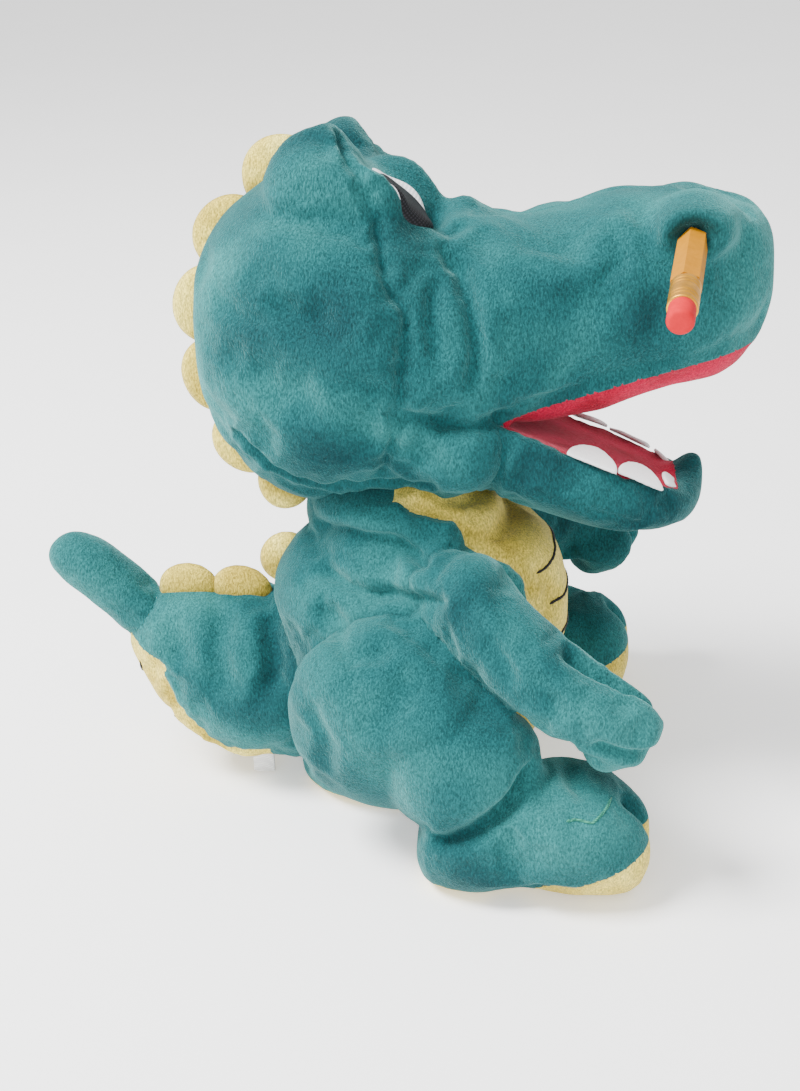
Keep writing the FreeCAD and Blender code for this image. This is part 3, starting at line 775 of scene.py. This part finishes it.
def make_scallop(node, body, inside):
    """A stuffed half-oval with its rim pinched and sewn, and gathers toward its root; painted shade lies
    along the rim and at the root.
    """
    co = np.array([v.co for v in frame["nodes"][node].data.vertices])
    middle, axes, _ = plane_frame(node)
    thick = axes[2]
    out = middle - np.array(inside)
    out -= thick * (out @ thick)
    out /= np.linalg.norm(out)
    tangent = np.cross(thick, out)
    spans = (co - middle) @ np.array([tangent, out]).T
    radius = (spans[:, 0].max() - spans[:, 0].min()) / 2
    middle = middle + tangent * (spans[:, 0].max() + spans[:, 0].min()) / 2
    root = middle + out * (spans[:, 1].max() - 0.95 * radius)
    ball, faces = globe(56, 36)
    theta = np.arctan2(ball[:, 1], ball[:, 0])
    flat = np.hypot(ball[:, 0], ball[:, 1])
    pinch = falloff(ball[:, 2], 0.10)
    swell = np.sign(ball[:, 2]) * np.abs(ball[:, 2]) ** 0.75
    gather = 0.14 * MM * np.sin(theta * 15 + 0.8 * np.sin(theta * 4)) * flat ** 6
    size = radius * 1.15 * (1 + 0.05 * pinch + 0.02 * np.sin(theta * 3 + radius * 4000))
    height = 3.4 * MM * swell * (1 - 0.55 * pinch) + gather * np.sign(ball[:, 2])
    points = root + np.outer(ball[:, 0] * size, tangent) + np.outer(ball[:, 1] * size, out)
    points = points + np.outer(height, thick)
    obj = mesh_object(node + "_cover", points, faces)
    subdivide(obj)
    flat = (vertices(obj) - root) @ np.array([tangent, out, thick]).T
    # painted shade along the pinched rim and across the root, where the scallop goes into the body
    paint(obj, "painted_shade", 0.45 * falloff(flat[:, 2], 0.5 * MM) + 0.5 * falloff(flat[:, 1], 3 * MM))
    dress(obj, body, CREAM, [node])


# ---- eyes, teeth, label ----
def make_eyes(head):
    tree = tree_of(head)
    for side in ("right", "left"):
        white = laid_disc(side + "_eye_white_patch", side + "_eye_white", tree, 0.7 * MM, 1.0)
        dress(white, "head", SATIN, [side + "_eye_white"])
        pupil = laid_disc(side + "_pupil_patch", side + "_pupil", tree, 1.25 * MM, 1.22, 1.6 * MM)
        dress(pupil, "head", BLACK, [side + "_pupil"])


def make_tooth(node):
    """A felt half-disc with soft edges, which flops a little further inwards than the designed disc."""
    obj = form_of(node + "_felt", [node], 0.4 * MM, 0.0, 3)
    local = to_local(vertices(obj))
    side = np.sign(local[:, 0].mean())
    root = local[np.argmax(local[:, 0] * side)].copy()
    across, up = local[:, 0] - root[0], local[:, 2] - root[2]
    local[:, 0] = root[0] + across * math.cos(FLOP) - side * up * math.sin(FLOP)
    local[:, 2] = root[2] + up * math.cos(FLOP) + side * across * math.sin(FLOP) - 0.7 * RIM_DIP
    set_vertices(obj, from_local(local))
    lumps(obj, 7.0, 0.10, 51)
    obj.data.shade_smooth()
    dress(obj, "jaw", WHITE_FELT, [node])


def make_label():
    low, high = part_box("care_label")
    x = (low.x + high.x) / 2
    profile = []
    for i in range(17):
        a = math.pi * i / 16
        across = 0.9 * MM * math.cos(a) * (0.4 + 0.6 * math.sin(a))
        profile.append((x + across, low.z + 1.0 * MM * (1 - math.sin(a))))
    profile = [(x + 0.35 * MM, high.z)] + profile + [(x - 0.35 * MM, high.z)]
    points, faces = [], []
    steps = 8
    for k in range(steps + 1):
        y = low.y + (high.y - low.y) * k / steps
        bow = 0.5 * MM * math.sin(math.pi * k / steps)
        points += [(px - bow, y, pz) for px, pz in profile]
    count = len(profile)
    for k in range(steps):
        for i in range(count - 1):
            faces.append((k * count + i, k * count + i + 1, (k + 1) * count + i + 1, (k + 1) * count + i))
    obj = mesh_object("care_label_tape", points, faces)
    mod = obj.modifiers.new("thick", "SOLIDIFY")
    mod.thickness = 0.25 * MM
    bake_modifiers(obj)
    subdivide(obj)
    dress(obj, "tail", LABEL, ["care_label"])


# ---- embroidery ----
def thread(name, line, radius, body, material, head=False):
    """A run of satin stitches: a thin twisted tube along a line on the surface."""
    if len(line) < 3:
        return
    points, faces = [], []
    sides = 8
    world = from_local(line, head)
    for i, p in enumerate(world):
        ahead = world[min(i + 1, len(world) - 1)] - world[max(i - 1, 0)]
        ahead /= np.linalg.norm(ahead)
        side = np.cross(ahead, [0.3, 0.2, 0.93])
        side /= np.linalg.norm(side)
        up = np.cross(side, ahead)
        taper = 0.35 if i in (0, len(world) - 1) else 1.0
        r = radius * taper * (1 + 0.16 * math.sin(i * 2.4))
        for k in range(sides):
            a = 2 * math.pi * k / sides + i * 0.5
            points.append(p + side * r * math.cos(a) + up * r * math.sin(a))
    for i in range(len(world) - 1):
        for k in range(sides):
            a, b = i * sides + k, i * sides + (k + 1) % sides
            faces.append((a, b, b + sides, a + sides))
    faces.append(tuple(reversed(range(sides))))
    faces.append(tuple(len(points) - sides + k for k in range(sides)))
    obj = mesh_object(name, points, faces)
    obj.data.shade_smooth()
    dress(obj, body, material)


def make_embroidery(belly, panel):
    tree = tree_of(belly)
    for i, z in enumerate((18, 31, 44, 57, 70, 83)):
        gap = 3.0 * math.sin(i * 1.9)
        starts = [(x, 160.0, z - 0.012 * x * x) for x in np.arange(-16 + gap, 16 + gap, 0.7)]
        line = drop(tree, starts, (0, -1, 0), False)
        thread("belly_stitches_%d" % (i + 1), line, 0.5 * MM, "torso", THREAD)
    tree = tree_of(panel)
    for i, y in enumerate((46, 55, 64, 73, 81)):
        line = drop(tree, [(x, -y, -60.0) for x in np.arange(-8.5, 8.6, 0.7)], (0, 0, 1), False)
        thread("tail_stitches_%d" % (i + 1), line, 0.5 * MM, "tail", THREAD)


# ---- pencil ----
def lathe(name, profile, centre, axis, sides=48, ripple=None):
    """A solid of revolution from (distance along the axis, radius)."""
    axis = Vector(axis).normalized()
    side = axis.orthogonal().normalized()
    up = axis.cross(side)
    points, faces = [], []
    for along, radius in profile:
        for k in range(sides):
            a = 2 * math.pi * k / sides
            r = radius * (1 + (ripple(along, a) if ripple else 0))
            points.append(centre + axis * along + side * r * math.cos(a) + up * r * math.sin(a))
    for i in range(len(profile) - 1):
        for k in range(sides):
            a, b = i * sides + k, i * sides + (k + 1) % sides
            faces.append((a, b, b + sides, a + sides))
    faces.append(tuple(reversed(range(sides))))
    faces.append(tuple(len(points) - sides + k for k in range(sides)))
    obj = mesh_object(name, points, faces)
    obj.data.shade_smooth()
    return obj


def node_span(node, axis):
    co = np.array([v.co for v in frame["nodes"][node].data.vertices])
    along = co @ np.array(axis)
    centre = co.mean(0)
    return Vector(centre), float(along.min()), float(along.max())


def make_pencil():
    axis = Vector(JOINTS["pencil_pull"]["axis"])
    centre, low, high = node_span("pencil_ferrule", axis)
    base = centre - axis * (centre.dot(axis) - low)
    length = high - low
    profile = [(0, 3.35 * MM), (0.15 * MM, 3.7 * MM)]
    for i in range(60):
        t = i / 59
        rings = sum(0.22 * falloff((t - c) * length / MM, 0.45) for c in (0.16, 0.30, 0.70, 0.84))
        profile.append((0.3 * MM + t * (length - 0.6 * MM), (3.78 - rings) * MM))
    profile += [(length - 0.12 * MM, 3.7 * MM), (length, 3.4 * MM)]

    def dents(along, a):
        t = along / length
        return -0.035 * max(0.0, math.cos(3 * a)) ** 8 * math.exp(-((t - 0.5) / 0.07) ** 2)

    ferrule = lathe("ferrule", profile, base, axis, 72, dents)
    dress(ferrule, "pencil", GOLD, ["pencil_ferrule"])
    centre, low, high = node_span("pencil_eraser", axis)
    base = centre - axis * (centre.dot(axis) - low)
    length = high - low
    bend = 1.1 * MM
    profile = [(0, 3.32 * MM), (0.4 * MM, 3.35 * MM), (length - bend, 3.35 * MM)]
    for i in range(1, 9):
        a = math.pi / 2 * i / 8
        profile.append((length - bend + bend * math.sin(a), 3.35 * MM - bend * (1 - math.cos(a))))
    profile.append((length + 0.05 * MM, 0.9 * MM))
    eraser = lathe("eraser", profile, base, axis, 48)
    dress(eraser, "pencil", RUBBER, ["pencil_eraser"])
    barrel = new_object("barrel", frame["nodes"]["pencil_barrel"].data.copy())
    mod = barrel.modifiers.new("bevel", "BEVEL")
    mod.width = 0.35 * MM
    mod.segments = 3
    mod.angle_limit = math.radians(40)
    bake_modifiers(barrel)
    dress(barrel, "pencil", LACQUER, ["pencil_barrel"])
    frame["nodes"]["pencil_lead"].data.materials.clear()
    frame["nodes"]["pencil_lead"].data.materials.append(GRAPHITE)


# (forward, up) path, depth and width of the slack folds
BODY_FOLDS = [
    ([(-16, 92), (-4, 95), (10, 95), (22, 92)], 2.6, 2.8),
    ([(-13, 84), (2, 81), (16, 82), (28, 88)], 2.6, 2.8),
    ([(-14, 74), (0, 71), (13, 74)], 1.6, 3.2),
    ([(-30, 62), (-28, 50), (-30, 38)], 2.2, 3.0),
    ([(-44, 64), (-46, 52), (-43, 38)], 1.4, 4.0),
    ([(-60, 60), (-58, 50), (-60, 42)], 1.2, 3.6),
    ([(-14, 58), (-8, 46), (-10, 34)], 1.4, 4.0),
    ([(36, 82), (42, 76), (46, 68)], 1.3, 3.0),
    ([(56, 72), (54, 62)], 1.2, 3.0),
]


LIMBS = ("right_leg", "left_leg", "right_arm", "left_arm", "tail", "tail_tip")
CUT_ORDER = LIMBS[:4] + ("tail_tip", "tail")


def body_form():
    """Torso, limbs and tail fused into one cover, and how far each vertex is from each body's stuffing."""
    groups = {"torso": ["torso_stuffing", "neck_stuffing"]}
    for body in LIMBS:
        groups[body] = [body + "_stuffing"]
    blobs = [((0, 8, 97), (27, 24, 13))]
    for s in (-1, 1):
        blobs.append(((s * 57, 69, 47.5), (7.2, 7.2, 7.5)))
        blobs.append(((s * 30, 22, 84), (11, 12, 11)))
        blobs.append(((s * 49, 22, 50), (14, 19, 15)))
    nodes = [n for group in groups.values() for n in group]
    obj = form_of("torso_cover", nodes, 2.0 * MM, SKIN, 3, blobs, False)
    co = vertices(obj)
    far = {body: distance_to(co, group) for body, group in groups.items()}
    order = np.sort(np.array(list(far.values())), axis=0)
    junction = np.clip(1 - (order[1] - order[0]) / 9.0, 0, 1)
    junction[co[:, 2] < 8 * MM] = 0
    smooth(obj, 24, 0.5, junction)
    smooth(obj, 2)
    co = vertices(obj)
    low = np.clip(1 - co[:, 2] / (9 * MM), 0, 1)
    co[:, 2] = np.maximum(co[:, 2] - 3.0 * MM * low, 0.3 * MM)
    set_vertices(obj, co)
    return obj, far


def sew_body(obj, far):
    """Pulls in the seams and folds. Returns how firmly they hold each vertex, and the seams' lines."""
    tree = tree_of(obj)
    co = vertices(obj)
    order = np.sort(np.array(list(far.values())), axis=0)
    pins = np.zeros(len(co))
    lines = []
    edges = np.exp(-((order[1] - order[0]) / 1.6) ** 2) * (co[:, 2] > 8 * MM)
    set_vertices(obj, vertices(obj) - normals(obj) * (1.3 * MM * edges)[:, None])
    pins = np.maximum(pins, 0.8 * edges)
    for s in (-1, 1):
        belly = drop(tree, [(s * 21, 160.0, z) for z in np.arange(8, 108, 1.5)], (0, -1, 0), False)
        under = drop(tree, [(s * 14, -a, -60.0) for a in np.arange(34, 86, 1.5)], (0, 0, 1), False)
        x = s * 54.0
        toe_top = drop(tree, [(x, a, 120.0) for a in np.arange(60, 88, 1.0)], (0, 0, -1), False)
        toe_front = drop(tree, [(x, 160.0, z) for z in np.arange(28, 5, -1.0)], (0, -1, 0), False)
        toes = np.concatenate([toe_top, toe_front]) if len(toe_top) and len(toe_front) else toe_top
        hand = side_line(tree, s, [(84, 49), (79, 51), (73, 53), (67, 55)], False, 1.0)
        ankle = side_line(tree, s, [(20, 20), (33, 26), (44, 34), (50, 44)], False)
        sewn = [(belly, 1.6, 1.6, 0.4), (under, 1.4, 1.5, 0.4), (toes, 3.6, 2.2, 0.0), (hand, 2.6, 1.7, 0.0)]
        for line, depth, width, gather in sewn:
            pins = np.maximum(pins, crease(obj, line, depth, width, gather, 6.0, False))
            lines.append(line)
        folds = [(ankle, 3.0, 2.8), (side_line(tree, s, [(52, 40), (60, 36), (66, 33)], False), 1.6, 2.6)]
        for path, depth, width in BODY_FOLDS:
            folds.append((side_line(tree, s, path, False), depth, width))
        for line, depth, width in folds:
            pins = np.maximum(pins, 0.5 * crease(obj, line, depth, width, 0.0, head=False, fade=7.0))
    return pins, lines


def make_body():
    """The sewn cover is sculpted and filled in one piece, then cut at its joints."""
    obj, far = body_form()
    pins, lines = sew_body(obj, far)
    lumps(obj, 28.0, 0.6, 5)
    lumps(obj, 10.0, 0.14, 6)
    for body in far:
        write(obj, "far_" + body, far[body])
    inflate_cloth(obj, pins, 2.2)
    co = vertices(obj)
    co[:, 2] = np.maximum(co[:, 2], 0.3 * MM)
    set_vertices(obj, co)
    subdivide(obj)
    co = vertices(obj)
    co[:, 2] = np.maximum(co[:, 2], 0.2 * MM)
    set_vertices(obj, co)
    # Painted shade: darker along the sewn seam lines and in the creases where limbs meet the torso, above
    # the floor.
    limb = np.minimum.reduce([read(obj, "far_" + b) for b in LIMBS])
    limb_crease_shade = np.exp(-((read(obj, "far_torso") - limb) / 0.8) ** 2)
    seams = 0.75 * line_shade(obj, lines, 0.75, False)
    paint(obj, "painted_shade", np.maximum(seams, 0.4 * limb_crease_shade * (co[:, 2] > 9 * MM)))
    return cut_body(obj, far)


def cut_body(obj, far):
    """Cuts limbs and panels off the cover and gives each its body. Returns the belly and tail panels."""
    pieces = {}
    for body in CUT_ORDER:
        others = np.minimum.reduce([read(obj, "far_" + b) for b in far if b != body])
        pieces[body] = split(obj, body + "_cover", read(obj, "far_" + body) - others)
    p = to_local(vertices(obj), False)
    belly = split(obj, "belly_cover", np.maximum.reduce([np.abs(p[:, 0]) - 21, 10 - p[:, 1], 5 - p[:, 2]]))
    p = to_local(vertices(obj), False)
    seat = split(obj, "seat_cover", p[:, 2] - 3.0)
    start, end = (0, NECK.y, NECK.z - 6 * MM), (0, NECK.y, NECK.z + 4 * MM)
    dress_blend(belly, "torso", "neck", start, end, CREAM, ["belly_panel"])
    dress(seat, "torso", CREAM, ["seat_panel"])
    dress_blend(obj, "torso", "neck", start, end, TEAL,
                ["torso_skin", "torso_stuffing", "pellet_bag", "neck_skin", "neck_stuffing"])
    for side, s in (("right", -1), ("left", 1)):
        finish_leg(pieces[side + "_leg"], side, s)
        arm = pieces[side + "_arm"]
        at = Vector(JOINTS[side + "_arm_swing"]["pos_m"])
        out = Vector((s * 0.5, -0.7, -0.5)).normalized() * MM
        dress_blend(arm, "torso", side + "_arm", at - out * 9, at + out * 9, TEAL,
                    [side + "_arm_skin", side + "_arm_stuffing"])
    tail = pieces["tail"]
    p = to_local(vertices(tail), False)
    high = p[:, 2] - (36 + 0.55 * np.maximum(-p[:, 1] - 48, 0))
    panel = split(tail, "tail_panel_cover", np.maximum.reduce([np.abs(p[:, 0]) - 14, high, p[:, 1] + 33]))
    start, end = (0, 27 * MM, 35 * MM), (0, 44 * MM, 38 * MM)
    dress_blend(panel, "torso", "tail", start, end, CREAM, ["tail_panel"])
    dress_blend(tail, "torso", "tail", start, end, TEAL, ["tail_skin", "tail_stuffing"])
    hinge = Vector(JOINTS["tail_tip_bend"]["pos_m"])
    along = Vector((0, 0.68, 0.73)) * MM
    dress_blend(pieces["tail_tip"], "tail", "tail_tip", hinge - along * 1, hinge + along * 9,
                TEAL, ["tail_tip_skin", "tail_tip_stuffing"])
    return belly, panel


def finish_leg(obj, side, s):
    toe = side_line(tree_of(obj), s, [(59, 31), (66, 30.5), (73, 33)], False, 0.7)
    thread(side + "_toe_stitches", toe, 0.4 * MM, side + "_leg", GREEN_THREAD)
    p = to_local(vertices(obj), False)
    sole_top = 4.0 + 0.42 * np.maximum(p[:, 1] - 46, 0)
    sole = split(obj, side + "_sole_cover", np.maximum(p[:, 2] - sole_top, 16 - p[:, 1]))
    dress(sole, side + "_leg", CREAM, [side + "_sole"])
    hip = Vector(JOINTS[side + "_leg_swing"]["pos_m"])
    start, end = hip + Vector((0, 24, 20)) * MM, hip + Vector((0, -12, -10)) * MM
    dress_blend(obj, "torso", side + "_leg", start, end, TEAL,
                [side + "_leg_skin", side + "_leg_stuffing"])


def laid_disc(name, node, tree, lift, grow=1.0, lower=0.0):
    """An oval patch laid on the head at a CAD disc's place, grown or lowered, with its edge turned in."""
    middle, axes, half = plane_frame(node)
    middle = middle - np.array(HEAD_UP) * lower
    if axes[2] @ np.array(HEAD_FORWARD) < 0:
        axes[2] = -axes[2]
    rings, spokes = 12, 56
    points = []
    for k in range(rings + 1):
        r = k / rings
        for i in range(spokes if k else 1):
            a = 2 * math.pi * i / spokes
            spot = middle + axes[0] * math.cos(a) * half[0] * r * grow
            spot = spot + axes[1] * math.sin(a) * half[1] * r * grow
            hit = tree.ray_cast(Vector(spot + axes[2] * 14 * MM), Vector(-axes[2]), 28 * MM)[0]
            rest = np.array(hit) if hit is not None else spot
            up = lift * (1 - 0.75 * max(0.0, r - 0.85) / 0.15)
            points.append(rest + axes[2] * up)
    edge = len(points) - spokes
    for i in range(spokes):
        points.append(points[edge + i] - axes[2] * 1.5 * MM)
    faces = [(0, 1 + i, 1 + (i + 1) % spokes) for i in range(spokes)]
    for k in range(rings):
        a, b = 1 + k * spokes, 1 + (k + 1) * spokes
        faces += [(a + i, b + i, b + (i + 1) % spokes, a + (i + 1) % spokes) for i in range(spokes)]
    obj = mesh_object(name, points, faces)
    smooth(obj, 2)
    return subdivide(obj)


# ---- stage ----
WORLD_LIGHT = 1.05
FLOOR_GLOW = 0.5                 # the paper floor is a light table
LIGHTS = [("key", (-0.20, 0.60, 1.05), 0.40, 40.0), ("fill", (-0.9, 0.1, 0.9), 0.9, 5.0)]
LIT_POINT = (0, -0.01, 0.09)
CAMERA_AT = (-0.3733, -0.0485, 0.272)
CAMERA_TURN = (6.0, 27.1, -2.0)  # degrees: yaw from the +X direction, downward pitch, roll
LENS = 63.0


def make_stage():
    floor = mesh_object("floor", [(-3, -3, 0), (3, -3, 0), (3, 3, 0), (-3, 3, 0)], [(0, 1, 2, 3)])
    mat, tree, shader = nodes_of("paper_floor")
    grain = noise(tree, mapped(tree, (1, 1, 1)), 8.0)
    tone = ramp(tree, grain, [(0.3, (0.93, 0.93, 0.93)), (0.7, (0.95, 0.95, 0.95))])
    link(tree, tone.outputs["Color"], shader.inputs["Base Color"])
    shader.inputs["Roughness"].default_value = 0.9
    shader.inputs["Emission Color"].default_value = (1, 1, 1, 1)
    shader.inputs["Emission Strength"].default_value = FLOOR_GLOW
    floor.data.materials.append(mat)
    world = bpy.data.worlds.new("studio")
    bpy.context.scene.world = world
    world.use_nodes = True
    world.node_tree.nodes["Background"].inputs["Color"].default_value = (1, 1, 1, 1)
    world.node_tree.nodes["Background"].inputs["Strength"].default_value = WORLD_LIGHT
    target = Vector(LIT_POINT)
    for name, place, size, power in LIGHTS:
        light = bpy.data.lights.new(name, "AREA")
        light.size = size
        light.energy = power
        obj = bpy.data.objects.new(name, light)
        bpy.context.scene.collection.objects.link(obj)
        obj.location = place
        obj.rotation_euler = (target - Vector(place)).to_track_quat("-Z", "Y").to_euler()


def make_camera():
    """The camera stands close to the dinosaur's right side, a little in front and above."""
    yaw, pitch, roll = (math.radians(a) for a in CAMERA_TURN)
    forward = Vector((math.cos(yaw) * math.cos(pitch), math.sin(yaw) * math.cos(pitch), -math.sin(pitch)))
    level = Vector((math.sin(yaw), -math.cos(yaw), 0))
    upright = level.cross(forward)
    right = level * math.cos(roll) + upright * math.sin(roll)
    up = upright * math.cos(roll) - level * math.sin(roll)
    camera = bpy.data.cameras.new("camera")
    camera.sensor_fit = "HORIZONTAL"
    camera.sensor_width = 36.0
    camera.lens = LENS
    camera.clip_start = 0.01
    obj = bpy.data.objects.new("camera", camera)
    bpy.context.scene.collection.objects.link(obj)
    turn = Matrix((right, up, -forward)).transposed().to_4x4()
    obj.matrix_world = Matrix.Translation(CAMERA_AT) @ turn
    bpy.context.scene.camera = obj


make_camera()
make_stage()
head = make_head()
make_jaw()
belly, panel = make_body()
inside_head = from_local((0, -12, 50))
for i in range(1, 7):
    make_scallop("head_scallop_%d" % i, "head", inside_head)
make_scallop("back_scallop", "torso", from_local((0, -14, 45), False))
make_scallop("tail_scallop_front", "tail", from_local((0, -42, 30), False))
make_scallop("tail_scallop_rear", "tail", from_local((0, -52, 32), False))
make_eyes(head)
for side in ("right", "left"):
    for name in ("rear", "middle", "front"):
        make_tooth("%s_%s_tooth" % (side, name))
make_label()
make_embroidery(belly, panel)
make_pencil()
